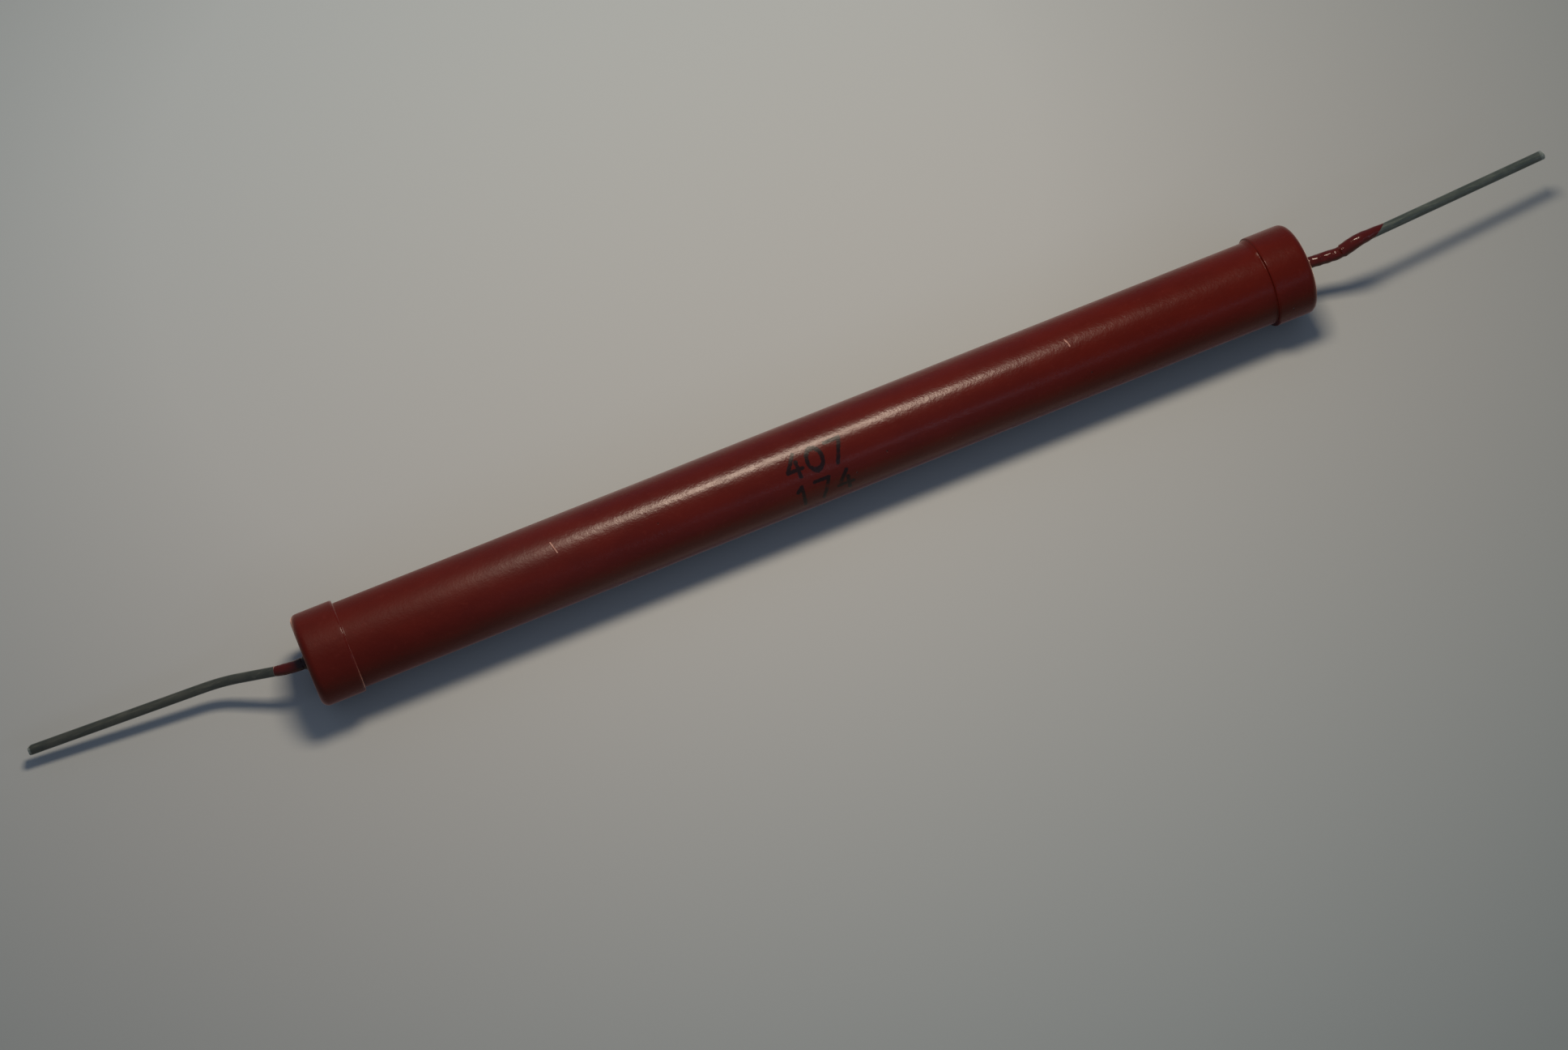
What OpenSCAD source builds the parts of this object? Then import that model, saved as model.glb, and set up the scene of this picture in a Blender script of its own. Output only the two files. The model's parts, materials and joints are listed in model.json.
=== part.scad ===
// Axial high-voltage film resistor: a ceramic tube with a spiral film, pressed end caps,
// welded wire leads and one coat of lacquer over everything but the lead ends.
// The body lies along X with its middle over the origin. It rests on its two cap rims at z = 0.

/* [Body] */
// Diameter over the lacquer between the caps
body_d = 8.8; // [6:0.1:14]
// Length over the lacquered ends
body_len = 107.4; // [60:0.2:160]
// Thickness of the lacquer
coat_t = 0.23; // [0.12:0.01:0.5]
// Thickness of the resistive film and of the bands at its ends
film_t = 0.12; // [0.08:0.01:0.25]
// Bore of the ceramic tube
bore_d = 3.6; // [1.5:0.1:5]
// Chamfer at each end of the bore
bore_chamfer = 0.3; // [0.1:0.05:0.6]

/* [Film] */
// Advance of the film for one turn
film_pitch = 3.9; // [2:0.1:8]
// Width of the spiral cut between the turns
film_gap = 0.5; // [0.2:0.05:1.2]
// Width of the conductive band at each end of the tube
band_w = 6.2; // [5:0.1:10]

/* [End caps] */
// Wall of the pressed cap
cap_wall = 0.36; // [0.2:0.02:0.6]
// Thickness of the closed end of the cap
cap_end_t = 0.45; // [0.3:0.05:0.9]
// Outside depth of the cap
cap_depth = 4.1; // [2:0.1:4.9]
// Outside rounding where the wall meets the closed end
cap_round = 0.55; // [0.2:0.05:0.8]
// Height and width of the weld fillet round the lead
weld_size = 0.45; // [0.1:0.05:0.6]

/* [Leads] */
// Diameter of the wire
lead_d = 1; // [0.6:0.05:1.4]
// Straight wire between each cap and the first bend
lead_exit = 0.3; // [0.1:0.1:2]
// Angle of the left lead's first bend
left_dip = 24; // [5:1:40]
// Direction of that bend, turned from straight down
left_dip_turn = -50; // [-90:5:90]
// Inside to axis radius of that bend
left_dip_r = 7; // [3:0.5:14]
// Straight wire between the left lead's bends
left_slope_len = 4; // [1:0.1:10]
// Angle of the left lead's second bend, back towards level
left_level = 19.5; // [5:0.5:40]
// Radius of that bend
left_level_r = 11; // [3:0.5:14]
// Straight free end of the left lead
left_end_len = 17.9; // [8:0.1:40]
// Angle of the right lead's first bend
right_rise = 14; // [5:1:40]
// Direction of that bend, turned from straight up
right_rise_turn = 41; // [-90:1:90]
// Radius of that bend
right_rise_r = 8; // [3:0.5:14]
// Straight wire before the right lead's kink
right_slope_len = 1.8; // [1:0.1:10]
// Angle of the kink
right_kink = 22; // [5:1:40]
// Direction of the kink, turned from the bend before it
right_kink_turn = -67; // [-90:1:90]
// Straight wire inside the kink
right_kink_len = 1.1; // [0.5:0.1:4]
// Angle of the last bend, back towards level
right_level = 32; // [5:1:40]
// Direction of the last bend, turned from the kink
right_level_turn = 214; // [150:1:250]
// Radius of the kink and of the last bend
right_kink_r = 2.5; // [1.5:0.1:6]
// Straight free end of the right lead
right_end_len = 21.4; // [8:0.1:40]

/* [Lacquer on the leads] */
// Thickness of the lacquer on the wire
sleeve_t = 0.08; // [0.05:0.01:0.14]
// Length of wire that the lacquer covers at the left
left_sleeve_len = 3.3; // [1:0.1:6]
// Taper at the end of the lacquer on the left lead
sleeve_taper = 0.6; // [0.2:0.1:1.5]
// Fillet of lacquer where a lead leaves the end
coat_fillet = 0.35; // [0.1:0.05:0.6]
// Thickness of the lacquer that gathered past the right lead's kink
swell_t = 0.18; // [0.16:0.01:0.3]
// Taper of that lacquer up to the kink
swell_lead_in = 0.3; // [0.2:0.05:0.4]
// Taper of that lacquer along the free end
swell_taper = 1.5; // [0.5:0.1:3]
// Length of the run that hardened on one side of it
drip_len = 3; // [2:0.1:5]
// Thickness of that run across the middle
drip_d = 1.26; // [1.2:0.02:1.6]
// Distance that its middle lies off the middle of the wire
drip_offset = 0.2; // [0:0.02:0.3]
// Direction in which it lies off, turned from straight down
drip_turn = 50; // [-90:5:90]

/* [Hidden] */
$fn = 64;

// Radii from the axis outwards
body_r = body_d / 2;
film_r = body_r - coat_t;
tube_r = film_r - film_t;
cap_r = film_r + cap_wall;
rim_r = cap_r + coat_t;
lead_r = lead_d / 2;
sleeve_r = lead_r + sleeve_t;
swell_r = lead_r + swell_t;

// Places along the axis, measured from the middle
coat_end = body_len / 2;
cap_end = coat_end - coat_t;
tube_end = cap_end - cap_end_t;
cap_open = cap_end - cap_depth;
band_in = tube_end - band_w;
film_len = 2 * band_in;
// The lacquer is thinner over the sharp edge of the cap
rim_coat = coat_t / 2;
rim_round = coat_t * 0.6;
axis_z = rim_r;

// Runs of wire: straight length, turn about the wire, bend angle and bend radius
left_runs = [
    [lead_exit, left_dip_turn, left_dip, left_dip_r],
    [left_slope_len, 180, left_level, left_level_r],
    [left_end_len]
];
right_runs = [
    [lead_exit, right_rise_turn, right_rise, right_rise_r],
    [right_slope_len, right_kink_turn, right_kink, right_kink_r],
    [right_kink_len, right_level_turn, right_level, right_kink_r],
    [right_end_len]
];

// How far a straight runs on into a bend, and how much thinner the wire's radius is in a bend
bend_lap = 0.02;
bend_thinning = 0.004;

// How deep the thin top of a fillet runs into the post that it surrounds
fillet_sink = 0.05;

// Facets for one turn of the film, and the clearance that keeps flat facets off round faces
film_steps = 20;
facet_gap = 0.003;

function move(x, y, z) = [[1, 0, 0, x], [0, 1, 0, y], [0, 0, 1, z], [0, 0, 0, 1]];
function turn_z(a) = [[cos(a), -sin(a), 0, 0], [sin(a), cos(a), 0, 0], [0, 0, 1, 0], [0, 0, 0, 1]];
function turn_y(a) = [[cos(a), 0, sin(a), 0], [0, 1, 0, 0], [-sin(a), 0, cos(a), 0], [0, 0, 0, 1]];

// Where each lead starts. Local Z runs out along the wire. Local X is down at the left, up at the right.
left_start = move(-cap_end, 0, axis_z) * turn_y(-90) * turn_z(180);
right_start = move(cap_end, 0, axis_z) * turn_y(90) * turn_z(180);

// Frame at the far end of a bend, and after the first n runs
function past_bend(a, r) = move(r * (1 - cos(a)), 0, r * sin(a)) * turn_y(a);
function past_run(run) = move(0, 0, run[0]) * turn_z(run[1]) * past_bend(run[2], run[3]);
function after(start, runs, n) = n == 0 ? start : after(start, runs, n - 1) * past_run(runs[n - 1]);

// The first part of a list of runs, cut where the wire has the given length
function bend_len(run) = run[3] * run[2] * PI / 180;
function cut_runs(runs, length, i = 0) =
    let (run = runs[i], rest = length - run[0])
    rest <= 0 || i == len(runs) - 1 ? [[length]]
    : rest <= bend_len(run) ? [[run[0], run[1], run[2] * rest / bend_len(run), run[3]], [0]]
    : concat([run], cut_runs(runs, rest - bend_len(run), i + 1));

// Wire of radius r along a list of runs. A straight reaches a little way into the bends beside it,
// where drawing the wire round the bend has thinned it.
module bent_wire(start, runs, r) {
    last = len(runs) - 1;
    for (i = [0 : last]) {
        run = runs[i];
        lap_in = i > 0 ? bend_lap : 0;
        lap_out = i < last ? bend_lap : 0;
        multmatrix(after(start, runs, i)) {
            translate([0, 0, -lap_in]) cylinder(r = r, h = run[0] + lap_in + lap_out);
            if (i < last)
                translate([0, 0, run[0]]) rotate([0, 0, run[1]]) bend(r - bend_thinning, run[2], run[3]);
        }
    }
}

module bend(r, angle, bend_r) {
    translate([bend_r, 0, 0])
        mirror([1, 0, 0])
            rotate([90, 0, 0])
                rotate_extrude(angle = angle) translate([bend_r, 0]) circle(r);
}

// Half section of a disc or drum: radius along x, axis along y, with its two rims rounded
module drum_2d(r, low, high, round_low, round_high) {
    translate([0, low + round_low]) square([r, high - low - round_low - round_high]);
    translate([0, low]) square([r - round_low, high - low]);
    if (round_high > round_low) translate([0, low]) square([r - round_high, high - low]);
    if (round_low > 0)
        intersection() {
            translate([r - round_low, low + round_low]) circle(round_low);
            translate([0, low]) square([r, high - low]);
        }
    translate([r - round_high, high - round_high]) circle(round_high);
}

// Hollow corner between a face at the given height and a post of the given radius. Its thin top
// runs out inside the post.
module fillet_2d(post_r, face, size) {
    foot_r = post_r + size - fillet_sink;
    difference() {
        translate([0, face]) square([foot_r, size]);
        translate([foot_r, face + size]) circle(size);
    }
}

// A section drawn with its axis along y, turned about the part's own axis
module about_axis() {
    translate([0, 0, axis_z]) rotate([0, 90, 0]) rotate_extrude() children();
}

module at_left() {
    mirror([1, 0, 0]) children();
}

module ceramic_tube() {
    color([0.90, 0.88, 0.83])
        about_axis()
            difference() {
                translate([bore_d / 2, -tube_end]) square([tube_r - bore_d / 2, 2 * tube_end]);
                bore_chamfer_2d();
                mirror([0, 1]) bore_chamfer_2d();
            }
}

module bore_chamfer_2d() {
    polygon([
        [bore_d / 2, tube_end],
        [bore_d / 2 + bore_chamfer, tube_end],
        [bore_d / 2, tube_end - bore_chamfer]
    ]);
}

// The film is one ribbon. Its ends are cut square to the axis, where the bands begin, so the
// first and the last turn taper to a point, as a spiral cut leaves them.
film_w = film_pitch - film_gap;
film_in_r = tube_r / cos(180 / film_steps) + facet_gap;
film_out_r = film_r - facet_gap;
film_turns = (film_len + film_w) / film_pitch;
film_last = floor(film_turns * film_steps) - 1;
function film_mid(i) = -band_in - film_w / 2 + i * film_pitch / film_steps;
function film_edge(i, side) = max(-band_in, min(band_in, film_mid(i) + side * film_w / 2));
function film_point(i, r, side) =
    let (a = i * 360 / film_steps)
    [film_edge(i, side), r * cos(a), r * sin(a)];
function film_ring(i) = [
    film_point(i, film_in_r, -1),
    film_point(i, film_out_r, -1),
    film_point(i, film_out_r, 1),
    film_point(i, film_in_r, 1)
];

module resistive_film() {
    points = [for (i = [1 : film_last]) each film_ring(i)];
    sides = [for (i = [0 : film_last - 2], k = [0 : 3])
        [4 * i + k, 4 * i + (k + 1) % 4, 4 * i + 4 + (k + 1) % 4, 4 * i + 4 + k]];
    ends = [[3, 2, 1, 0], [for (k = [0 : 3]) 4 * (film_last - 1) + k]];
    color([0.20, 0.19, 0.18])
        translate([0, 0, axis_z]) polyhedron(points, concat(sides, ends), convexity = 10);
}

module termination() {
    color([0.72, 0.72, 0.70])
        about_axis()
            translate([tube_r, band_in]) square([film_r - tube_r, band_w]);
}

module termination_right() {
    termination();
}

module termination_left() {
    at_left() termination();
}

// Deep-drawn cup that is pressed over the end of the tube
module end_cap() {
    color([0.66, 0.65, 0.62])
        about_axis()
            difference() {
                drum_2d(cap_r, cap_open, cap_end, 0, cap_round);
                translate([0, cap_open]) square([film_r, tube_end - cap_open]);
            }
}

module end_cap_right() {
    end_cap();
}

module end_cap_left() {
    at_left() end_cap();
}

module weld_2d() {
    fillet_2d(lead_r, cap_end, weld_size);
}

module weld_right() {
    color([0.52, 0.51, 0.50])
        difference() {
            about_axis() weld_2d();
            bent_wire(right_start, right_runs, lead_r);
        }
}

module weld_left() {
    color([0.52, 0.51, 0.50])
        difference() {
            at_left() about_axis() weld_2d();
            bent_wire(left_start, left_runs, lead_r);
        }
}

module lead_left() {
    color([0.60, 0.60, 0.58]) bent_wire(left_start, left_runs, lead_r);
}

module lead_right() {
    color([0.60, 0.60, 0.58]) bent_wire(right_start, right_runs, lead_r);
}

// Outside of the lacquer for the right half: body, cap rim, end and the fillet at the lead
module coat_outer_2d() {
    square([body_r, cap_end]);
    drum_2d(rim_r, cap_open - rim_coat, coat_end, rim_round, cap_round + coat_t);
    fillet_2d(sleeve_r, coat_end, coat_fillet);
}

// What the lacquer covers in the right half: tube with its film, cap and weld
module coat_inner_2d() {
    square([film_r, cap_end]);
    drum_2d(cap_r, cap_open, cap_end, 0, cap_round);
    weld_2d();
}

module both_halves_2d() {
    children();
    mirror([0, 1]) children();
}

// Lacquer of radius r on a stretch of wire, ending in a taper
module sleeve(start, runs, r, taper) {
    last = len(runs) - 1;
    bent_wire(start, runs, r);
    multmatrix(after(start, runs, last))
        translate([0, 0, runs[last][0] - bend_lap]) cylinder(r1 = r, r2 = lead_r, h = taper);
}

// The right lead's lacquer is thin up to the kink. Past it, it swells until the wire runs level.
module right_sleeve() {
    kink_end = after(right_start, right_runs, 2);
    bent_wire(right_start, [right_runs[0], right_runs[1], [0]], sleeve_r);
    // The taper starts inside the thin lacquer, so that the bend's curve leaves no thin step there
    multmatrix(kink_end)
        translate([0, 0, -swell_lead_in])
            cylinder(r1 = lead_r + sleeve_t / 2, r2 = swell_r - bend_thinning, h = swell_lead_in + bend_lap);
    sleeve(kink_end, [right_runs[2], [0]], swell_r, swell_taper);
}

// Long thin drop beside the swelling, with its middle where the kink ends in the last bend
module drip() {
    middle = after(right_start, right_runs, 2) * [0, 0, right_kink_len, 1];
    half = drip_len / 2;
    waist = drip_d / 2;
    arc_r = (half * half + waist * waist) / (2 * waist);
    side = [0, -sin(drip_turn), -cos(drip_turn)] * drip_offset;
    translate([middle[0], middle[1], middle[2]] + side)
        rotate([0, 90, 0])
            rotate_extrude()
                intersection() {
                    translate([waist - arc_r, 0]) circle(arc_r, $fn = 180);
                    translate([0, -half]) square([waist, drip_len]);
                }
}

module lacquer_coat() {
    color([0.36, 0.12, 0.09])
        difference() {
            union() {
                about_axis() both_halves_2d() coat_outer_2d();
                sleeve(left_start, cut_runs(left_runs, left_sleeve_len), sleeve_r, sleeve_taper);
                right_sleeve();
                drip();
            }
            about_axis() both_halves_2d() coat_inner_2d();
            bent_wire(left_start, left_runs, lead_r);
            bent_wire(right_start, right_runs, lead_r);
        }
}

ceramic_tube();
resistive_film();
termination_left();
termination_right();
end_cap_left();
end_cap_right();
weld_left();
weld_right();
lead_left();
lead_right();
lacquer_coat();
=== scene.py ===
import json
import math
from collections import namedtuple

import bpy
from mathutils import Euler, Matrix, Vector, noise


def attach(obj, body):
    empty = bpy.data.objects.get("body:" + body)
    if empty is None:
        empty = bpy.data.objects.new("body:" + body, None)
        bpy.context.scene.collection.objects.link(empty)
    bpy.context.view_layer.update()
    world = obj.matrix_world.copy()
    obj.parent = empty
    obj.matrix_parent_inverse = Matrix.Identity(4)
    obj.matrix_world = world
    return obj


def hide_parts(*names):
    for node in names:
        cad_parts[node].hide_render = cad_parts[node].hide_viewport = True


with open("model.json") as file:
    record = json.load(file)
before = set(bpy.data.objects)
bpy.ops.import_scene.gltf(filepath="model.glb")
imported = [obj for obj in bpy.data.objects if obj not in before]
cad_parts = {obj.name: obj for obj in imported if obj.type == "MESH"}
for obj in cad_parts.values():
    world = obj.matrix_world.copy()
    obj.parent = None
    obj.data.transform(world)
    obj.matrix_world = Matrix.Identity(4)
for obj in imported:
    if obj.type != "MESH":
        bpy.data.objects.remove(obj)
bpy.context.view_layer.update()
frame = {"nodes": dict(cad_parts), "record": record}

# The looks of a long lacquered resistor that lies on a plain surface. Sizes and places are in
# millimetres, and MM turns them into the metres of meshes, lamps, the camera and shader nodes.
MM = 0.001

# Body, from the centre outwards
BODY_R = 4.4
COAT_T = 0.23
CAP_WALL = 0.36
FILM_R = BODY_R - COAT_T
CAP_R = FILM_R + CAP_WALL
RIM_R = CAP_R + COAT_T
AXIS_Z = RIM_R
COAT_END = 53.7
CAP_DEPTH = 4.1
CAP_END = COAT_END - COAT_T
CAP_OPEN = CAP_END - CAP_DEPTH
RIM_EDGE = CAP_OPEN - COAT_T / 2
RIM_ROUND = 0.13
CAP_ROUND = 0.55
SHOULDER = CAP_ROUND + COAT_T

# Leads: each run is a straight, a turn about the wire, and a bend with its angle and its radius
Run = namedtuple("Run", "straight turn angle radius")
WIRE_R = 0.5
LEFT_RUNS = [Run(0.3, -50, 24, 7), Run(4, 180, 19.5, 11), Run(17.9, 0, 0, 0)]
RIGHT_RUNS = [Run(0.3, 41, 14, 8), Run(1.8, -67, 22, 2.5), Run(1.1, 214, 32, 2.5),
              Run(21.4, 0, 0, 0)]
SLEEVE_R = WIRE_R + 0.08
LEFT_SLEEVE_END = 3.4
RIGHT_SLEEVE_END = 10.1
COAT_FILLET = 0.35

# Mesh density
SKIN_SIDES = 128
WIRE_SIDES = 48

# Camera, at the place and angle of the photograph
CAMERA_AT = (-49.97, -135.74, 309.64)
CAMERA_TURN = (24.261, 1.858, -23.007)
CAMERA_LENS = 77.855
CAMERA_SENSOR = 36.0
CAMERA_CLIP = (10, 20000)


def make_camera():
    data = bpy.data.cameras.new("camera")
    data.sensor_fit = "HORIZONTAL"
    data.sensor_width = CAMERA_SENSOR
    data.lens = CAMERA_LENS
    data.clip_start, data.clip_end = (distance * MM for distance in CAMERA_CLIP)
    camera = bpy.data.objects.new("camera", data)
    camera.location = Vector(CAMERA_AT) * MM
    camera.rotation_euler = Euler([math.radians(a) for a in CAMERA_TURN])
    bpy.context.scene.collection.objects.link(camera)
    bpy.context.scene.camera = camera


make_camera()


# Frames along the wires: local Z runs out along the wire, local X is the side that it bends to
def past_bend(angle, radius):
    """The move from the start of a bend to a point on it."""
    move = Matrix.Translation((radius * (1 - math.cos(angle)), 0, radius * math.sin(angle)))
    return move @ Matrix.Rotation(angle, 4, "Y")


def wire_start(side):
    """Where the lead leaves its cap. side is -1 at the left and 1 at the right."""
    turn = Matrix.Rotation(math.radians(90 * side), 4, "Y") @ Matrix.Rotation(math.pi, 4, "Z")
    return Matrix.Translation((side * CAP_END, 0, AXIS_Z)) @ turn


def wire_point(side, runs, length):
    """(place, direction) on the wire's centre line at a length from the cap."""
    at = wire_start(side)
    for i, (straight, turn, angle, radius) in enumerate(runs):
        if length <= straight or i == len(runs) - 1:
            at = at @ Matrix.Translation((0, 0, length))
            break
        length -= straight
        straight_end = Matrix.Translation((0, 0, straight))
        at = at @ straight_end @ Matrix.Rotation(math.radians(turn), 4, "Z")
        whole = math.radians(angle)
        if length <= whole * radius:
            at = at @ past_bend(length / radius, radius)
            break
        length -= whole * radius
        at = at @ past_bend(whole, radius)
    return at.to_translation(), at.to_3x3() @ Vector((0, 0, 1))


def wire_length(runs):
    """Length of a wire's centre line from the cap."""
    return sum(run.straight + math.radians(run.angle) * run.radius for run in runs)


# A ring of points round a centre. The radius is a number or a function of the angle. lean is a
# function of the angle that says how far a point sits along the direction.
Ring = namedtuple("Ring", "centre direction radius lean")


def square(a):
    """Lean of a ring that stands square to its direction."""
    return 0.0


def ring_points(ring, sides):
    turn = Vector((1, 0, 0)).rotation_difference(ring.direction).to_matrix()
    across, up = turn @ Vector((0, 1, 0)), turn @ Vector((0, 0, 1))
    points = []
    for k in range(sides):
        a = 2 * math.pi * k / sides
        r = ring.radius(a) if callable(ring.radius) else ring.radius
        out = across * (r * math.cos(a)) + up * (r * math.sin(a))
        points.append((ring.centre + out + ring.direction * ring.lean(a)) * MM)
    return points


def ring_mesh(name, rings, sides, closed):
    """A tube through the rings. closed joins its last ring to its first, else its ends are flat."""
    verts = [p for ring in rings for p in ring_points(ring, sides)]
    faces = []
    count = len(rings)
    for i in range(count if closed else count - 1):
        a, b = i * sides, (i + 1) % count * sides
        for k in range(sides):
            after = (k + 1) % sides
            faces.append((a + k, a + after, b + after, b + k))
    if not closed:
        for end, flip in ((0, True), (count - 1, False)):
            middle = len(verts)
            verts.append(rings[end].centre * MM)
            for k in range(sides):
                edge = (end * sides + k, end * sides + (k + 1) % sides)
                faces.append((edge[1], edge[0], middle) if flip else (edge[0], edge[1], middle))
    mesh = bpy.data.meshes.new(name)
    mesh.from_pydata(verts, [], faces)
    mesh.shade_smooth()
    piece = bpy.data.objects.new(name, mesh)
    bpy.context.scene.collection.objects.link(piece)
    return piece


def arc(centre, radius, start, end, steps):
    """Points (x, r) of an arc, angles in degrees from the +X axis."""
    out = []
    for i in range(steps + 1):
        a = math.radians(start + (end - start) * i / steps)
        out.append((centre[0] + radius * math.cos(a), centre[1] + radius * math.sin(a)))
    return out


def line(start, end, steps):
    """Points (x, r) along a line, both ends left out."""
    run = (end[0] - start[0], end[1] - start[1])
    return [(start[0] + run[0] * i / steps, start[1] + run[1] * i / steps) for i in range(1, steps)]


def smooth_step(value, low, high):
    """0 up to low, 1 past high, and a smooth rise between them."""
    t = max(0.0, min(1.0, (value - low) / (high - low)))
    return t * t * (3 - 2 * t)


def smooth_max(a, b, soft):
    """The larger of two values, blended where they differ by less than soft."""
    h = max(0.0, min(1.0, 0.5 + 0.5 * (a - b) / soft))
    return b + (a - b) * h + soft * h * (1 - h)


def spread(table, x):
    """Smooth value between the pairs (place, value) of a table."""
    if x <= table[0][0]:
        return table[0][1]
    for (x0, v0), (x1, v1) in zip(table, table[1:]):
        if x <= x1:
            return v0 + (v1 - v0) * smooth_step(x, x0, x1)
    return table[-1][1]


# Lacquer over the body and the caps
STEP_FILLET = 0.07
NECK_ARC = (180, 262)
BODY_RING_STEP = 0.7
CORNER_STEPS = 8
STEP_FILLET_STEPS = 4
RIM_STEPS = 6
CAP_STEPS = 12
NECK_STEPS = 8
# Waves from dipping: height, length along the body, how fast they change round it, and the share
# and scale of finer ones. Smaller forms have none, and the caps only a share.
WAVE = 0.014
WAVE_LENGTH = 9.0
WAVE_ROUND = 1.3
RIPPLE = 0.35
RIPPLE_SCALE = 3.1
WAVY_FROM_R = 2
CAP_WAVE = 0.6
CAP_WAVE_FROM = RIM_EDGE - 0.2
# On this side the lacquer fills the corner before the right cap's rim
FILLED_SIDE = math.radians(46)
FILLED_HALF = (math.radians(24), math.radians(38))
FILLED_LENGTH = 0.5
FILLED_RISE = 0.2
FILLED_SHARE = 0.9


def outside_half():
    """Outline of the lacquer from the middle of the body to the fillet at the right lead."""
    flat_end = RIM_EDGE - STEP_FILLET
    fine_from = flat_end - FILLED_LENGTH
    foot_r = SLEEVE_R + COAT_FILLET
    out = [(0.0, BODY_R)]
    out += line((0, BODY_R), (fine_from, BODY_R), round(fine_from / BODY_RING_STEP))
    out += [(fine_from, BODY_R)]
    out += line((fine_from, BODY_R), (flat_end, BODY_R), CORNER_STEPS)
    out += arc((flat_end, BODY_R + STEP_FILLET), STEP_FILLET, 270, 360, STEP_FILLET_STEPS)
    out += arc((RIM_EDGE + RIM_ROUND, RIM_R - RIM_ROUND), RIM_ROUND, 180, 90, RIM_STEPS)
    out += line(out[-1], (COAT_END - SHOULDER, RIM_R), CAP_STEPS)
    out += arc((COAT_END - SHOULDER, RIM_R - SHOULDER), SHOULDER, 90, 0, CAP_STEPS)
    out += line(out[-1], (COAT_END, foot_r), CAP_STEPS)
    out += arc((COAT_END + COAT_FILLET, foot_r), COAT_FILLET, *NECK_ARC, NECK_STEPS)
    return out


def wavy(x, r):
    """Radius with the shallow waves that dipping leaves. The caps only wave inwards."""
    def radius(a):
        if r < WAVY_FROM_R:
            return r
        place = Vector((x / WAVE_LENGTH, WAVE_ROUND * math.cos(a), WAVE_ROUND * math.sin(a)))
        wave = noise.noise(place) * WAVE + noise.noise(place * RIPPLE_SCALE) * WAVE * RIPPLE
        if abs(x) >= CAP_WAVE_FROM:
            wave = -abs(wave) * CAP_WAVE
        if x > RIM_EDGE or r > RIM_R - RIM_ROUND:
            return r + wave
        off = abs((a - FILLED_SIDE + math.pi) % (2 * math.pi) - math.pi)
        rise = FILLED_RISE * (1 - smooth_step(off, *FILLED_HALF))
        rise *= smooth_step(x, RIM_EDGE - FILLED_LENGTH, RIM_EDGE)
        # The fill stops short of the rim, so that no two rings meet
        return min(r + wave + rise, r + FILLED_SHARE * (RIM_R - RIM_ROUND - r))
    return radius


def body_ring(x, radius):
    """A ring round the body's axis."""
    return Ring(Vector((x, 0, AXIS_Z)), Vector((1, 0, 0)), radius, square)


# Thickness of the sleeves along the wire. Past the kink in the right lead, lacquer gathered and a
# run of it hardened under the wire.
LEFT_SKIN = [(0.0, 0.1), (0.9, 0.11), (1.5, 0.08), (2.5, 0.07), (3.0, 0.045), (3.4, 0.003)]
RIGHT_SKIN = [(0.0, 0.1), (0.8, 0.11), (1.5, 0.09), (2.6, 0.11), (3.8, 0.12), (4.7, 0.1),
              (5.05, 0.19), (6.0, 0.2), (7.3, 0.17), (8.6, 0.1), (10.1, 0.003)]
SLEEVE_START = COAT_FILLET + COAT_T + 0.02
LEFT_RING_STEP = 0.08
RIGHT_RING_STEP = 0.06
DRIP_FROM, DRIP_TO = 4.6, 8.4
DRIP_R = 0.66
DRIP_DROP = 0.17
DRIP_SIDE = math.radians(-75)
DRIP_FULLNESS = 0.7
DRIP_BLEND = 0.06
# The lacquer runs out further on this side of the right wire, by twice SLANT
LONG_SIDE = math.radians(24)
SLANT_FROM = 6.0
SLANT = 0.8
# Lumps, as a share of the thickness, and how fast they change along the wire and round it
LUMPS = 0.3
LUMPS_ALONG = 2.3
LUMPS_ROUND = 2
SMOOTH_FROM, SMOOTH_TO = 4.9, 5.4
SMOOTHED = 0.75
# The crease where the swelling begins
CREASE_AT = 4.86
CREASE_DEPTH = 0.035
CREASE_WIDTH = 0.09
# Beads and pits on the right neck: length along the wire, angle, height, width
BEADS = ((2.67, math.radians(97), 0.09, 0.19), (3.1, math.radians(110), -0.06, 0.2),
         (5.14, math.radians(102), 0.09, 0.17), (4.3, math.radians(100), -0.04, 0.25))


def sleeve_radius(side, length):
    """Radius of a sleeve at an angle, with its lumps, run, crease, beads and pits."""
    skin = spread(LEFT_SKIN if side < 0 else RIGHT_SKIN, length)
    lumps = LUMPS * (1 - SMOOTHED * smooth_step(length, SMOOTH_FROM, SMOOTH_TO))
    crease = CREASE_DEPTH * math.exp(-((length - CREASE_AT) / CREASE_WIDTH) ** 2)
    along = (length - DRIP_FROM) / (DRIP_TO - DRIP_FROM)
    swell = math.sin(math.pi * along) ** DRIP_FULLNESS if side > 0 and 0 < along < 1 else 0.0
    drip_r = WIRE_R + (DRIP_R - WIRE_R) * swell
    drop = DRIP_DROP * swell

    def drip_reach(a):
        off = a - DRIP_SIDE
        half_chord = math.sqrt(max(0.0, drip_r ** 2 - (drop * math.sin(off)) ** 2))
        return drop * math.cos(off) + half_chord

    def radius(a):
        place = (length * LUMPS_ALONG * side, LUMPS_ROUND * math.cos(a), LUMPS_ROUND * math.sin(a))
        r = WIRE_R + skin + lumps * skin * noise.noise(Vector(place))
        if side < 0:
            return r
        if swell > 0:
            r = smooth_max(r, drip_reach(a), DRIP_BLEND)
        r -= crease * (0.5 + 0.5 * math.cos(a - LONG_SIDE))
        for at, angle, height, width in BEADS:
            r += height * math.exp(-((length - at) ** 2 + (r * (a - angle)) ** 2) / width ** 2)
        return r
    return radius


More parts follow.
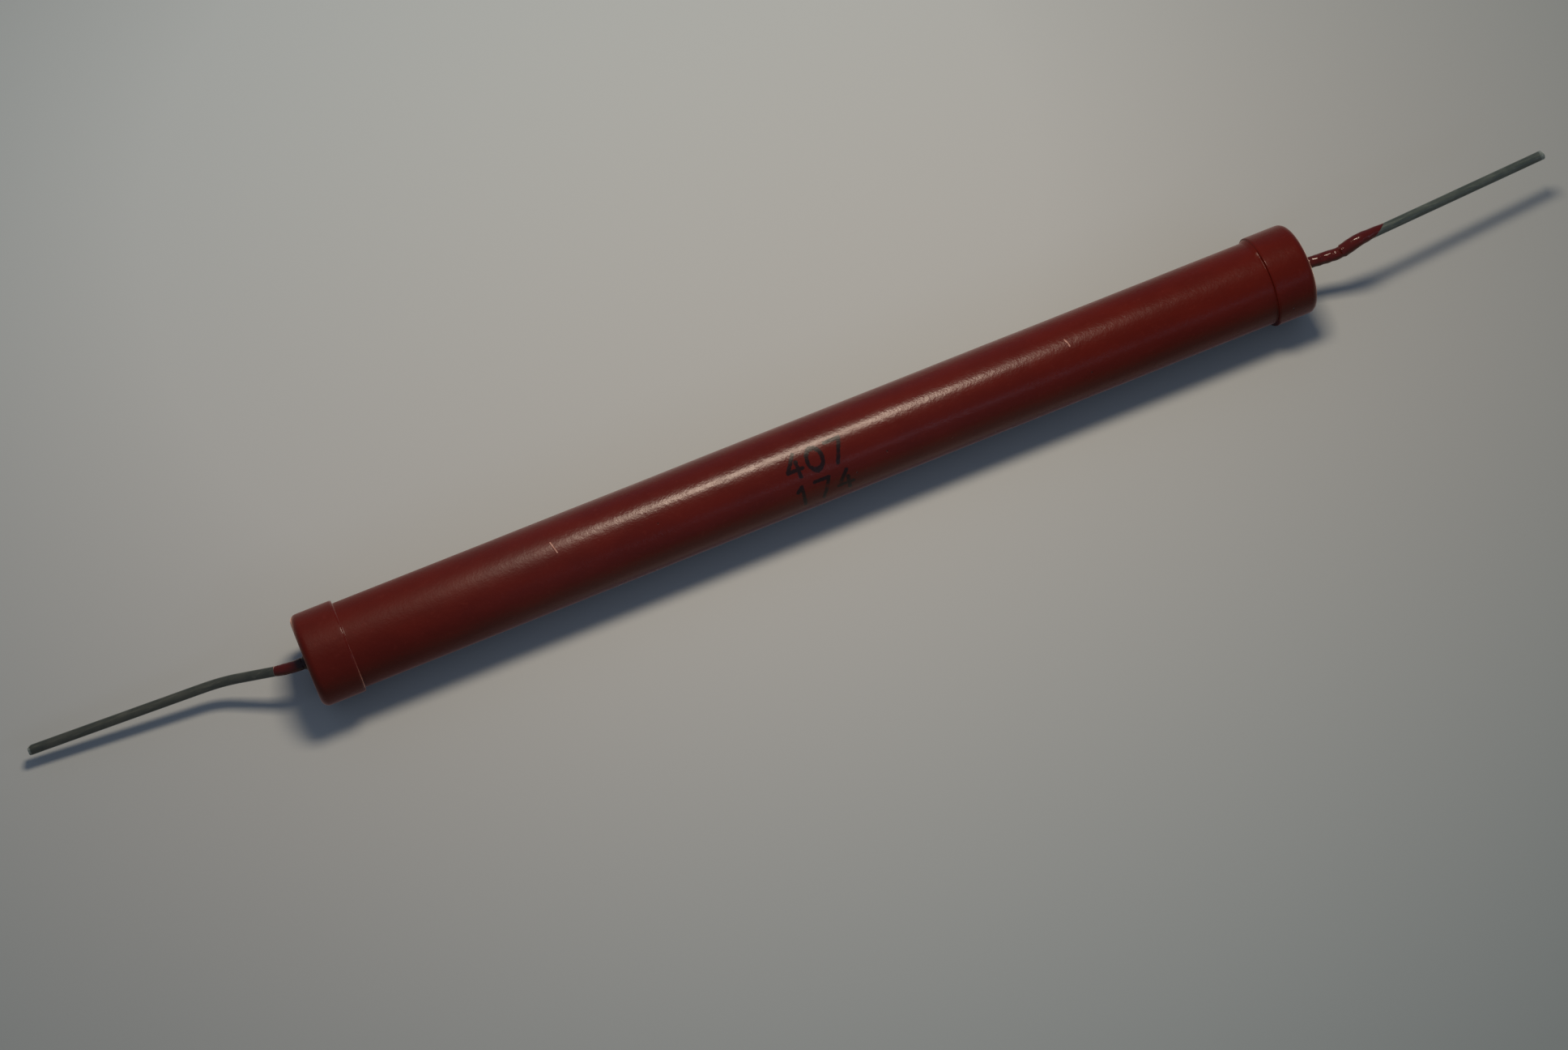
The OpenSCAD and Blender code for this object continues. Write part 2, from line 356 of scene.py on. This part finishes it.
def slant(side, length):
    """How far each point of a sleeve's ring sits back, so that the right sleeve ends at a slant."""
    late = max(0.0, (length - SLANT_FROM) / (RIGHT_SLEEVE_END - SLANT_FROM))
    if side < 0 or late == 0:
        return square
    return lambda a: -SLANT * late * (1 - math.cos(a - LONG_SIDE))


def sleeve_rings(side, runs, last, step):
    """Rings of a sleeve from near the cap outwards, all facing the part's +X sense."""
    rings = []
    count = round((last - SLEEVE_START) / step)
    for i in range(count + 1):
        length = SLEEVE_START + (last - SLEEVE_START) * i / count
        place, direction = wire_point(side, runs, length)
        rings.append(Ring(place, direction * side, sleeve_radius(side, length), slant(side, length)))
    return rings


# Inside of the lacquer: it clears the wires, ends just before the sleeves do, and follows the foot
# of each weld, given as distances from the cap and heights over the wire
LINING_CLEARANCE = 0.001
LINING_START = 0.4
LINING_SHORT = 0.01
LINING_STEPS = 24
LINING_CORNER_STEPS = 6
WELD_FOOT = ((0.0, 0.4), (0.08, 0.15), (0.24, LINING_CLEARANCE))


def lining_rings(side, runs, sleeve_end):
    """Rings of the lacquer's inside along a wire, from near the cap outwards."""
    rings = []
    last = sleeve_end - LINING_SHORT
    for i in range(LINING_STEPS + 1):
        length = LINING_START + (last - LINING_START) * i / LINING_STEPS
        place, direction = wire_point(side, runs, length)
        rings.append(Ring(place, direction * side, WIRE_R + LINING_CLEARANCE, slant(side, length)))
    return rings


def lacquer_skin():
    half = outside_half()
    outside = sleeve_rings(-1, LEFT_RUNS, LEFT_SLEEVE_END, LEFT_RING_STEP)[::-1]
    outside += [body_ring(-x, wavy(-x, r)) for x, r in half[:0:-1]]
    outside += [body_ring(x, wavy(x, r)) for x, r in half]
    outside += sleeve_rings(1, RIGHT_RUNS, RIGHT_SLEEVE_END, RIGHT_RING_STEP)
    # The inside runs back from the right end, along the wire, the weld, the cap and the film
    inner_half = [(0.0, FILM_R), (CAP_OPEN, FILM_R), (CAP_OPEN, CAP_R)]
    inner_half += arc((CAP_END - CAP_ROUND, CAP_R - CAP_ROUND), CAP_ROUND, 90, 0,
                      LINING_CORNER_STEPS)
    inner_half += [(CAP_END + out, WIRE_R + over) for out, over in WELD_FOOT]
    inside = lining_rings(1, RIGHT_RUNS, RIGHT_SLEEVE_END)[::-1]
    inside += [body_ring(x, r) for x, r in inner_half[::-1]]
    inside += [body_ring(-x, r) for x, r in inner_half[1:]]
    inside += lining_rings(-1, LEFT_RUNS, LEFT_SLEEVE_END)
    return ring_mesh("lacquer_skin", outside + inside, SKIN_SIDES, closed=True)


# Leads: drawn wire with a cut end, a little out of round where it was handled
# Dents: depth, the noise above which they begin, how fast they change along the wire, and how far
# apart the two wires lie in the noise
NICK = 0.012
NICK_FROM = 0.1
NICK_ALONG = 0.9
NICK_SHIFT = 20
WIRE_RING_STEP = 0.2
END_LENGTH = 0.6
END_RING_STEP = 0.08
END_RINGS = 8
END_CHAMFER = 0.04
# Facets that the cutter left at each end: side, depth at the end, length. A facet reaches round to
# where the cosine of the angle from its side falls to CUT_REACH.
CUTS = ((math.radians(62), 0.17, 0.45), (math.radians(242), 0.1, 0.3))
CUT_REACH = 0.1


def wire_radius(side, length, total):
    """Radius of a wire at an angle, with its dents and the cutter's facets."""
    def radius(a):
        place = Vector((length * NICK_ALONG + NICK_SHIFT * side, math.cos(a), math.sin(a)))
        r = WIRE_R - NICK * max(0.0, noise.noise(place) - NICK_FROM)
        for angle, depth, reach in CUTS:
            cut = WIRE_R - depth * max(0.0, 1 - (total - length) / reach)
            if math.cos(a - angle) > CUT_REACH:
                r = min(r, cut / math.cos(a - angle))
        return r
    return radius


def wire_piece(name, side, runs):
    total = wire_length(runs)
    end_from = total - END_LENGTH
    count = round(end_from / WIRE_RING_STEP)
    lengths = [end_from * i / count for i in range(count)]
    lengths += [end_from + END_RING_STEP * i for i in range(END_RINGS)]
    rings = []
    for length in lengths:
        rings.append(Ring(*wire_point(side, runs, length), wire_radius(side, length, total), square))
    before_cut = rings[-1].radius
    cut_face = Ring(*wire_point(side, runs, total), lambda a: before_cut(a) - END_CHAMFER, square)
    return ring_mesh(name, rings + [cut_face], WIRE_SIDES, closed=False)


# Node helpers for the materials
def socket_color(color):
    """A colour input's value: a link stays as it is, and three numbers get an alpha of 1."""
    return color if isinstance(color, bpy.types.NodeSocket) else (*color, 1.0)


class Nodes:
    """A material's node tree, with short calls for the nodes used here."""

    def __init__(self, name):
        self.material = bpy.data.materials.new(name)
        self.material.use_nodes = True
        self.tree = self.material.node_tree
        self.shader = self.tree.nodes["Principled BSDF"]
        self.place = self.add("ShaderNodeTexCoord").outputs["Object"]

    def add(self, kind, **values):
        node = self.tree.nodes.new(kind)
        for key, value in values.items():
            setattr(node, key, value)
        return node

    def put(self, value, socket):
        """Links a socket or sets a value."""
        if isinstance(value, bpy.types.NodeSocket):
            self.tree.links.new(value, socket)
        else:
            socket.default_value = value

    def math(self, operation, a, b=0.0, c=0.0, clamp=False):
        node = self.add("ShaderNodeMath", operation=operation, use_clamp=clamp)
        for value, socket in zip((a, b, c), node.inputs):
            self.put(value, socket)
        return node.outputs[0]

    def least(self, values):
        """The smallest of several values."""
        smallest = values[0]
        for value in values[1:]:
            smallest = self.math("MINIMUM", smallest, value)
        return smallest

    def swing(self, value, width):
        """A value from 0 to 1 turned into one from -width / 2 to width / 2."""
        return self.math("MULTIPLY_ADD", value, width, -width / 2)

    def toward(self, value, target, share):
        """The value moved towards the target by a share of the way."""
        return self.math("MULTIPLY_ADD", share, self.math("SUBTRACT", target, value), value)

    def vector(self, operation, a, b=(0.0, 0.0, 0.0)):
        node = self.add("ShaderNodeVectorMath", operation=operation)
        self.put(a, node.inputs[0])
        self.put(b, node.inputs[1])
        is_number = operation in ("DOT_PRODUCT", "LENGTH", "DISTANCE")
        return node.outputs["Value"] if is_number else node.outputs[0]

    def split(self, vector):
        node = self.add("ShaderNodeSeparateXYZ")
        self.put(vector, node.inputs[0])
        return node.outputs

    def join(self, x, y, z):
        node = self.add("ShaderNodeCombineXYZ")
        for value, socket in zip((x, y, z), node.inputs):
            self.put(value, socket)
        return node.outputs[0]

    def stretched(self, x):
        """The place with its X scaled, for noise that is drawn out along the part."""
        return self.vector("MULTIPLY", self.place, (x, 1, 1))

    def noise(self, vector, size, detail=3.0, rough=0.55):
        """Noise from 0 to 1 with features of about this size."""
        node = self.add("ShaderNodeTexNoise")
        self.put(vector, node.inputs["Vector"])
        node.inputs["Scale"].default_value = 1 / (size * MM)
        node.inputs["Detail"].default_value = detail
        node.inputs["Roughness"].default_value = rough
        return node.outputs["Fac"]

    def cells(self, vector, size):
        """Cells of this size: the distance to the nearest middle, and a colour for each cell."""
        node = self.add("ShaderNodeTexVoronoi")
        self.put(vector, node.inputs["Vector"])
        node.inputs["Scale"].default_value = 1 / (size * MM)
        return node.outputs

    def range(self, value, low, high, to_low=0.0, to_high=1.0, smooth=True):
        kind = "SMOOTHSTEP" if smooth else "LINEAR"
        node = self.add("ShaderNodeMapRange", interpolation_type=kind)
        self.put(value, node.inputs["Value"])
        node.inputs["From Min"].default_value = low
        node.inputs["From Max"].default_value = high
        node.inputs["To Min"].default_value = to_low
        node.inputs["To Max"].default_value = to_high
        return node.outputs["Result"]

    def fade(self, distance, between, values=(0.0, 1.0), smooth=True):
        """The first value up to the first of two distances, and the second past the other."""
        low, high = (d * MM for d in between)
        return self.range(distance, low, high, *values, smooth=smooth)

    def mix(self, factor, a, b):
        node = self.add("ShaderNodeMix", data_type="RGBA")
        self.put(factor, node.inputs["Factor"])
        self.put(socket_color(a), node.inputs[6])
        self.put(socket_color(b), node.inputs[7])
        return node.outputs[2]

    def stroke(self, spot, start, end):
        """Distance from a spot to the line between two points."""
        run = (end[0] - start[0], end[1] - start[1], 0.0)
        from_start = self.vector("SUBTRACT", spot, (*start, 0.0))
        share = self.math("MULTIPLY", self.vector("DOT_PRODUCT", from_start, run),
                          1 / (run[0] ** 2 + run[1] ** 2), clamp=True)
        foot = self.vector("MULTIPLY", run, self.join(share, share, 0.0))
        return self.vector("LENGTH", self.vector("SUBTRACT", from_start, foot))

    def bumps(self, layers):
        """Normal with each (pattern, height) laid over the one before."""
        normal = None
        for pattern, height in layers:
            node = self.add("ShaderNodeBump")
            node.inputs["Strength"].default_value = 1.0
            node.inputs["Distance"].default_value = height * MM
            self.put(pattern, node.inputs["Height"])
            if normal is not None:
                self.put(normal, node.inputs["Normal"])
            normal = node.outputs[0]
        return normal

    def finish(self, color, roughness, **more):
        """Fills the shader's inputs. Names in more have _ for each space."""
        self.put(socket_color(color), self.shader.inputs["Base Color"])
        self.put(roughness, self.shader.inputs["Roughness"])
        for key, value in more.items():
            self.put(value, self.shader.inputs[key.replace("_", " ")])
        return self.material


# Lacquer: two tones with pale flecks, and darker where it is thick on the sleeves
LACQUER = (0.074, 0.0054, 0.002)
LACQUER_DARK = (0.062, 0.0044, 0.0017)
LACQUER_PALE = (0.1, 0.0115, 0.006)
LACQUER_DEEP = (0.03, 0.0025, 0.0015)
# Painted shade darkens the pinholes
PIT_PAINTED_SHADE = (0.012, 0.003, 0.003)
INK = (0.007, 0.0025, 0.0022)
# Painted shade at the foot of the left lead
PAINTED_NECK_SHADE = (0.009, 0.0035, 0.003)
# Pale colour of the raised scars: a painted highlight
SCAR_PAINTED_HIGHLIGHT = (0.4, 0.2, 0.14)
# How much each of these covers the colour under it
PIT_COVER = 0.8
NECK_SHADE_COVER = 1.0
INK_COVER = 0.96
SCAR_HIGHLIGHT_COVER = 0.75
DEEP_COVER = 0.4
# Patterns: size of the tones, how far they are drawn out, size and strength of the flecks
TONE_SIZE = 3.5
TONE_STRETCH = 0.5
FLECK_SIZE = 0.5
FLECKS = 0.35
# Pinholes: one cell in about seven has one, with its edge at these shares of a cell
PIT_CELL = 1.7
PIT_LOT = (0.8, 0.86)
PIT_SIZE = (0.03, 0.07)
# Unevenness of the surface, each as the size of its features, their detail and their height
SURFACE = ((0.9, 2, 0.018), (0.38, 2, 0.012), (0.2, 3, 0.012))
PIT_BUMP = 0.05
SCAR_BUMP = 0.05
# Roughness and strength of the shine along the body: glossiest past the middle, duller to both ends
LEFT_ROUGH = ((-46, -15), (0.48, 0.225))
RIGHT_ROUGHER = ((13, 36), (0.0, 0.04))
PATCHY_SIZE = 1.4
PATCHY_ROUGHER = 0.05
INK_ROUGHER = 0.06
EDGE_ROUGH = 0.2
SLEEVE_ROUGH = 0.15
LEFT_LEVEL = ((-46, -24), (0.11, 0.185))
RIGHT_LEVEL = ((10, 36), (1.0, 0.54))
SLEEVE_LEVEL = 0.16
EDGE_LEVEL = 0.04
MIDDLE_LEVEL = 0.17
SHINE_TINT = (1.0, 0.9, 0.8, 1.0)
SHEEN = 0.7
SHEEN_ROUGH = 0.3
SHEEN_TINT = (1.0, 0.6, 0.45, 1.0)
# The rounded edge of each rim, as the middle of it and distances from there
RIM_MIDDLE = RIM_EDGE + 0.06
RIM_FADE = (0.1, 0.2)
SLEEVE_FADE = (COAT_END, COAT_END + 0.3)
# What differs between the two rims changes over here
HALVES = (-10, 10)

# The stamp: two lines of plain figures, in millimetres along the body and round it from the top
STAMP_X = -0.4
STAMP_LINES = (("407", 1.76), ("174", 5.15))
STAMP_PITCH = 2.25
STAMP_GRAIN = 0.25
STAMP_RAGGED = 0.22
WORN_PATCH = 0.9
WORN_BELOW = (0.3, 0.43)
WORN_INK = 0.3
STROKE = 0.2
STROKE_SOFT = 0.05
STROKES = {
    "1": [((-0.4, 0.7), (0.1, 1.2)), ((0.1, 1.2), (0.1, -1.2))],
    "4": [((0.35, 1.2), (-0.75, -0.4)), ((-0.75, -0.4), (0.8, -0.4)), ((0.35, 0.4), (0.35, -1.2))],
    "7": [((-0.75, 1.15), (0.75, 1.15)), ((0.75, 1.15), (-0.2, -1.2))],
}
RING_0 = (0.78, 1.12)

# Short raised scars in the lacquer where the body was held while it dried, in the same measures
MARKS = (((-27.55, -0.25), (-27.42, 0.3)), ((-27.42, 0.3), (-27.28, 0.95)),
         ((27.4, -0.1), (27.58, 0.35)), ((27.58, 0.35), (27.62, 0.75)))
MARK_GRAIN = 0.2
MARK_RAGGED = 0.12
MARK_HALF = (0.04, 0.12)

# Painted shade at the foot of the left lead, where it leaves the cap: from the cap's face out along
# the wire, and round it
NECK_SHADE_ALONG = (0.6, 1.35)
NECK_SHADE_GRAIN = 0.6
NECK_SHADE_RAGGED = 0.8
NECK_SHADE_ROUND = (1.0, 1.3)
FACE_FADE = 0.04


def unrolled(m, x, y, z):
    """Millimetres along the body and round it from the top, down towards the camera."""
    up = m.math("SUBTRACT", z, AXIS_Z * MM)
    angle = m.math("ARCTAN2", m.math("MULTIPLY", y, -1.0), up)
    return m.math("MULTIPLY", x, 1 / MM), m.math("MULTIPLY", angle, BODY_R)


def marks_mask(m, along, across):
    """1 on the short scars."""
    spot = m.join(along, across, 0.0)
    nearest = m.least([m.stroke(spot, start, end) for start, end in MARKS])
    ragged = m.swing(m.noise(m.place, MARK_GRAIN, detail=1), MARK_RAGGED)
    return m.range(m.math("ADD", nearest, ragged), *MARK_HALF, 1.0, 0.0)


def figure_gaps(m, figure, spot):
    """Distances from a spot to the strokes of a figure."""
    if figure == "0":
        round_spot = m.vector("MULTIPLY", spot, (1 / RING_0[0], 1 / RING_0[1], 0))
        off = m.math("SUBTRACT", m.vector("LENGTH", round_spot), 1.0)
        return [m.math("MULTIPLY", m.math("ABSOLUTE", off), RING_0[0])]
    return [m.stroke(spot, start, end) for start, end in STROKES[figure]]


def stamp_mask(m, along, across):
    """1 where ink lies: distances to the strokes of the figures, worn away in patches."""
    gaps = []
    for text, down in STAMP_LINES:
        for i, figure in enumerate(text):
            middle = STAMP_X + (i - 1) * STAMP_PITCH
            right = m.math("SUBTRACT", along, middle)
            gaps += figure_gaps(m, figure, m.join(right, m.math("SUBTRACT", down, across), 0.0))
    ragged = m.swing(m.noise(m.place, STAMP_GRAIN, detail=2), STAMP_RAGGED)
    edge = m.math("ADD", m.least(gaps), ragged)
    ink = m.range(edge, STROKE - STROKE_SOFT, STROKE + STROKE_SOFT, 1.0, 0.0)
    patches = m.noise(m.place, WORN_PATCH, detail=4, rough=0.7)
    return m.math("MULTIPLY", ink, m.range(patches, *WORN_BELOW, WORN_INK, 1.0))


def painted_neck_shade_mask(m, x, y, z):
    """1 at the foot of the left lead, where shade is painted dark into the lacquer."""
    from_axis = m.vector("LENGTH", m.join(0.0, y, m.math("SUBTRACT", z, AXIS_Z * MM)))
    patchy = m.math("ADD", x, m.swing(m.noise(m.place, NECK_SHADE_GRAIN), NECK_SHADE_RAGGED * MM))
    far = m.fade(patchy, (-COAT_END - NECK_SHADE_ALONG[1], -COAT_END - NECK_SHADE_ALONG[0]))
    near = m.fade(x, (-COAT_END - FACE_FADE, -COAT_END), (1.0, 0.0))
    around = m.fade(from_axis, NECK_SHADE_ROUND, (1.0, 0.0))
    return m.math("MULTIPLY", m.math("MULTIPLY", far, near), around)


def pinholes(m):
    """1 in the pinholes where bubbles burst."""
    cells = m.cells(m.place, PIT_CELL)
    without = m.range(m.split(cells["Color"])[0], *PIT_LOT, 1.0, 0.0)
    distance = m.math("ADD", cells["Distance"], m.math("MULTIPLY", without, 2.0))
    return m.range(distance, *PIT_SIZE, 1.0, 0.0)


def lacquer_material():
    m = Nodes("red_lacquer")
    x, y, z = m.split(m.place)
    along, across = unrolled(m, x, y, z)
    out = m.math("ABSOLUTE", x)
    from_rim = m.math("ABSOLUTE", m.math("SUBTRACT", out, RIM_MIDDLE * MM))
    edge = m.fade(from_rim, RIM_FADE, (1.0, 0.0))
    sleeve = m.fade(out, SLEEVE_FADE)
    # pit marks the pinholes, for their bump and their painted shade
    pit = pinholes(m)
    ink = stamp_mask(m, along, across)
    # scar marks the raised scars, for their bump and their painted highlight
    scar = marks_mask(m, along, across)

    tone = m.noise(m.stretched(TONE_STRETCH), TONE_SIZE, detail=4)
    fleck = m.noise(m.place, FLECK_SIZE)
    color = m.mix(m.range(tone, 0.35, 0.7), LACQUER_DARK, LACQUER)
    color = m.mix(m.range(fleck, 0.55, 0.8, 0.0, FLECKS), color, LACQUER_PALE)
    # Painted shade darkens the foot of the left lead
    neck_shade = painted_neck_shade_mask(m, x, y, z)
    for mask, cover, tint in ((pit, PIT_COVER, PIT_PAINTED_SHADE), (neck_shade, NECK_SHADE_COVER, PAINTED_NECK_SHADE),
                              (ink, INK_COVER, INK), (scar, SCAR_HIGHLIGHT_COVER, SCAR_PAINTED_HIGHLIGHT),
                              (sleeve, DEEP_COVER, LACQUER_DEEP)):
        color = m.mix(m.math("MULTIPLY", mask, cover), color, tint)

    layers = [(m.noise(m.place, size, detail), height) for size, detail, height in SURFACE]
    layers += [(m.math("SUBTRACT", 1.0, pit), PIT_BUMP), (scar, SCAR_BUMP)]
    normal = m.bumps(layers)

    rough = m.math("ADD", m.fade(x, *LEFT_ROUGH), m.fade(x, *RIGHT_ROUGHER))
    patchy = m.noise(m.place, PATCHY_SIZE)
    rough = m.math("ADD", rough, m.range(patchy, 0.3, 0.75, 0.0, PATCHY_ROUGHER))
    rough = m.math("ADD", rough, m.math("MULTIPLY", ink, INK_ROUGHER))
    rough = m.toward(rough, EDGE_ROUGH, edge)
    rough = m.toward(rough, SLEEVE_ROUGH, sleeve)

    level = m.math("MULTIPLY", m.fade(x, *RIGHT_LEVEL), m.fade(x, *LEFT_LEVEL))
    level = m.math("MULTIPLY_ADD", sleeve, SLEEVE_LEVEL, level)
    level = m.math("MULTIPLY_ADD", edge, m.fade(x, HALVES, (EDGE_LEVEL, 0.0)), level)
    # The right rim has no pale edge
    dull = m.math("MULTIPLY", edge, m.fade(x, HALVES))
    sheen = m.math("MULTIPLY_ADD", dull, -SHEEN, SHEEN)
    # Both have a typical value under the link, for an export that drops the link
    m.shader.inputs["Specular IOR Level"].default_value = MIDDLE_LEVEL
    m.shader.inputs["Sheen Weight"].default_value = SHEEN
    return m.finish(color, rough, Normal=normal, Specular_IOR_Level=level,
                    Specular_Tint=SHINE_TINT, Sheen_Weight=sheen, Sheen_Roughness=SHEEN_ROUGH,
                    Sheen_Tint=SHEEN_TINT)


# Wire: dull tinned copper in two greys with paler drawing lines, and brighter where it was cut
WIRE_DARK = (0.047, 0.052, 0.043)
WIRE_GREY = (0.081, 0.083, 0.07)
WIRE_LINES = (0.135, 0.133, 0.112)
WIRE_CUT = (0.24, 0.265, 0.215)
# The left wire is darker, and the right one a little greener
LEFT_TINT = (0.8, 0.79, 0.66)
RIGHT_TINT = (1.0, 1.12, 1.0)
TINT_FADE = (-60, 60)
# Where each wire ends, in millimetres from the middle of the body
TIPS = (81.45, 81.7)
WIRE_ROUGH = (0.7, 0.84)
WIRE_SHEEN_TINT = (1.0, 1.0, 0.8, 1.0)
LINE_SIZE = 0.25
LINE_STRETCH = 0.12
LINE_BUMP = 0.01
BLOTCH_SIZE = 1.6
GRAIN_SIZE = 0.14
GRAIN_BUMP = 0.004
# How far the roughness of a hidden piece goes below and above its own value
HIDDEN_GLOSS = (-0.06, 0.08)


def wire_material():
    m = Nodes("tinned_wire")
    x = m.split(m.place)[0]
    lines = m.noise(m.stretched(LINE_STRETCH), LINE_SIZE, detail=4)
    blotch = m.noise(m.place, BLOTCH_SIZE)
    grain = m.noise(m.place, GRAIN_SIZE, detail=2)
    color = m.mix(m.range(blotch, 0.35, 0.7), WIRE_DARK, WIRE_GREY)
    color = m.mix(m.range(lines, 0.5, 0.75, 0.0, 0.6), color, WIRE_LINES)
    tint = m.mix(m.fade(x, TINT_FADE), LEFT_TINT, RIGHT_TINT)
    color = m.vector("MULTIPLY", color, tint)
    tip = m.fade(m.math("ABSOLUTE", x), TIPS)
    color = m.mix(m.math("MULTIPLY", tip, m.range(grain, 0.35, 0.6, 0.4, 1.0)), color, WIRE_CUT)
    normal = m.bumps(((lines, LINE_BUMP), (grain, GRAIN_BUMP)))
    rough = m.range(blotch, 0.3, 0.7, *WIRE_ROUGH)
    return m.finish(color, rough, Metallic=0.8, Normal=normal, Coat_Weight=0.35, Coat_Roughness=0.3,
                    Sheen_Weight=0.5, Sheen_Roughness=0.4, Sheen_Tint=WIRE_SHEEN_TINT)


def plain_material(name, dark, pale, size, rough, metallic=0.0):
    """Finish of a piece that the lacquer hides: two tones, a fine grain and an uneven gloss."""
    m = Nodes(name)
    tone = m.noise(m.place, size, detail=5)
    grain = m.noise(m.place, size / 6, detail=2)
    color = m.mix(m.range(tone, 0.35, 0.65), dark, pale)
    uneven = m.range(tone, 0.3, 0.7, *(rough + change for change in HIDDEN_GLOSS))
    return m.finish(color, uneven, Metallic=metallic, Normal=m.bumps(((grain, GRAIN_BUMP),)))


skin = lacquer_skin()
skin.data.materials.append(lacquer_material())
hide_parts("lacquer_coat")
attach(skin, "root")

wire_finish = wire_material()
for piece_name, wire_side, wire_runs in (("wire_left", -1, LEFT_RUNS), ("wire_right", 1, RIGHT_RUNS)):
    wire = wire_piece(piece_name, wire_side, wire_runs)
    wire.data.materials.append(wire_finish)
    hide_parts(piece_name.replace("wire", "lead"))
    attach(wire, "root")

# Pieces that the lacquer hides keep their solids. Each slot has a name, a dark tone, a pale tone,
# the size of its patches, its roughness and how metallic it is.
HIDDEN = {
    "ceramic": ("fine_ceramic", (0.78, 0.76, 0.7), (0.86, 0.84, 0.79), 1.2, 0.6),
    "film": ("resistive_glaze", (0.03, 0.028, 0.026), (0.06, 0.055, 0.05), 0.8, 0.35),
    "termination": ("fired_silver", (0.55, 0.54, 0.5), (0.7, 0.69, 0.66), 0.6, 0.45, 0.9),
    "cap": ("tinned_steel", (0.42, 0.41, 0.38), (0.58, 0.57, 0.54), 1.5, 0.35, 1.0),
    "weld": ("weld_metal", (0.25, 0.24, 0.23), (0.4, 0.39, 0.37), 0.3, 0.5, 1.0),
}
hidden_finishes = {slot: plain_material(*looks) for slot, looks in HIDDEN.items()}
for part in frame["record"]["subparts"]:
    if part["material_slot"] in hidden_finishes:
        node = frame["nodes"][part["node"]]
        node.data.materials.clear()
        node.data.materials.append(hidden_finishes[part["material_slot"]])


# Floor, lamps and world. One lamp stands for the light overhead, and the other for a window.
FLOOR_HALF = 1500
FLOOR_ROUGH = 0.75
FLOOR = (0.346, 0.363, 0.328)
FLOOR_PAINTED_DIM = (0.192, 0.207, 0.179)
# Painted light: the floor's colour darkens away from this point, between these distances, as a
# painted pool of lamp light with darker far corners
PAINTED_POOL_AT = (-9, 39, 0)
PAINTED_POOL_FADE = (47, 129)
# Painted bounce light: the floor's colour is warmer near the body, out to the second distance,
# standing in for red light thrown back from the lacquer
FLOOR_PAINTED_BOUNCE = (0.962, 0.897, 0.869)
PAINTED_BOUNCE_FADE = (5, 85)
LAMP_AT = (24.0, 58.0, 198.3)
LAMP_SIZE = (64, 41)
LAMP_WATTS = 0.385
LAMP_COLOR = (1.0, 0.9, 0.8)
WINDOW_AT = (350, -600, 470)
WINDOW_SIZE = (520, 50)
WINDOW_WATTS = 0.35
FILL_COLOR = (0.534, 0.674, 1.0)
FILL_STRENGTH = 0.35


def floor_material():
    m = Nodes("floor_finish")
    from_painted_pool = m.vector("DISTANCE", m.place, tuple(v * MM for v in PAINTED_POOL_AT))
    # Painted pool of light: the floor's colour darkens with distance from the bright point
    tone = m.mix(m.fade(from_painted_pool, PAINTED_POOL_FADE, smooth=False), FLOOR, FLOOR_PAINTED_DIM)
    x, y = m.split(m.place)[:2]
    past_end = m.math("SUBTRACT", m.math("ABSOLUTE", x), COAT_END * MM)
    from_body = m.vector("LENGTH", m.join(m.math("MAXIMUM", past_end, 0.0), y, 0.0))
    # Painted bounce light from the red body, warming the floor near it
    near = m.fade(from_body, PAINTED_BOUNCE_FADE, (1.0, 0.0))
    color = m.vector("MULTIPLY", tone, m.mix(near, (1.0, 1.0, 1.0), FLOOR_PAINTED_BOUNCE))
    return m.finish(color, FLOOR_ROUGH)


def make_floor():
    half = FLOOR_HALF * MM
    corners = [(-half, -half, 0), (half, -half, 0), (half, half, 0), (-half, half, 0)]
    mesh = bpy.data.meshes.new("floor")
    mesh.from_pydata(corners, [], [(0, 1, 2, 3)])
    floor = bpy.data.objects.new("floor", mesh)
    bpy.context.scene.collection.objects.link(floor)
    floor.data.materials.append(floor_material())


def area_lamp(name, place, size, watts, color):
    """A lamp that faces the middle of the body."""
    data = bpy.data.lights.new(name, "AREA")
    data.shape = "RECTANGLE"
    data.size, data.size_y = (s * MM for s in size)
    data.energy = watts
    data.color = color
    lamp = bpy.data.objects.new(name, data)
    lamp.location = Vector(place) * MM
    aim = Vector((0, 0, AXIS_Z)) * MM - lamp.location
    lamp.rotation_euler = aim.to_track_quat("-Z", "Y").to_euler()
    bpy.context.scene.collection.objects.link(lamp)


def make_world():
    world = bpy.data.worlds.new("studio")
    world.use_nodes = True
    back = world.node_tree.nodes["Background"]
    back.inputs["Color"].default_value = (*FILL_COLOR, 1)
    back.inputs["Strength"].default_value = FILL_STRENGTH
    bpy.context.scene.world = world


make_floor()
area_lamp("key_lamp", LAMP_AT, LAMP_SIZE, LAMP_WATTS, LAMP_COLOR)
area_lamp("window", WINDOW_AT, WINDOW_SIZE, WINDOW_WATTS, FILL_COLOR)
make_world()
bpy.context.scene.view_settings.view_transform = "Standard"
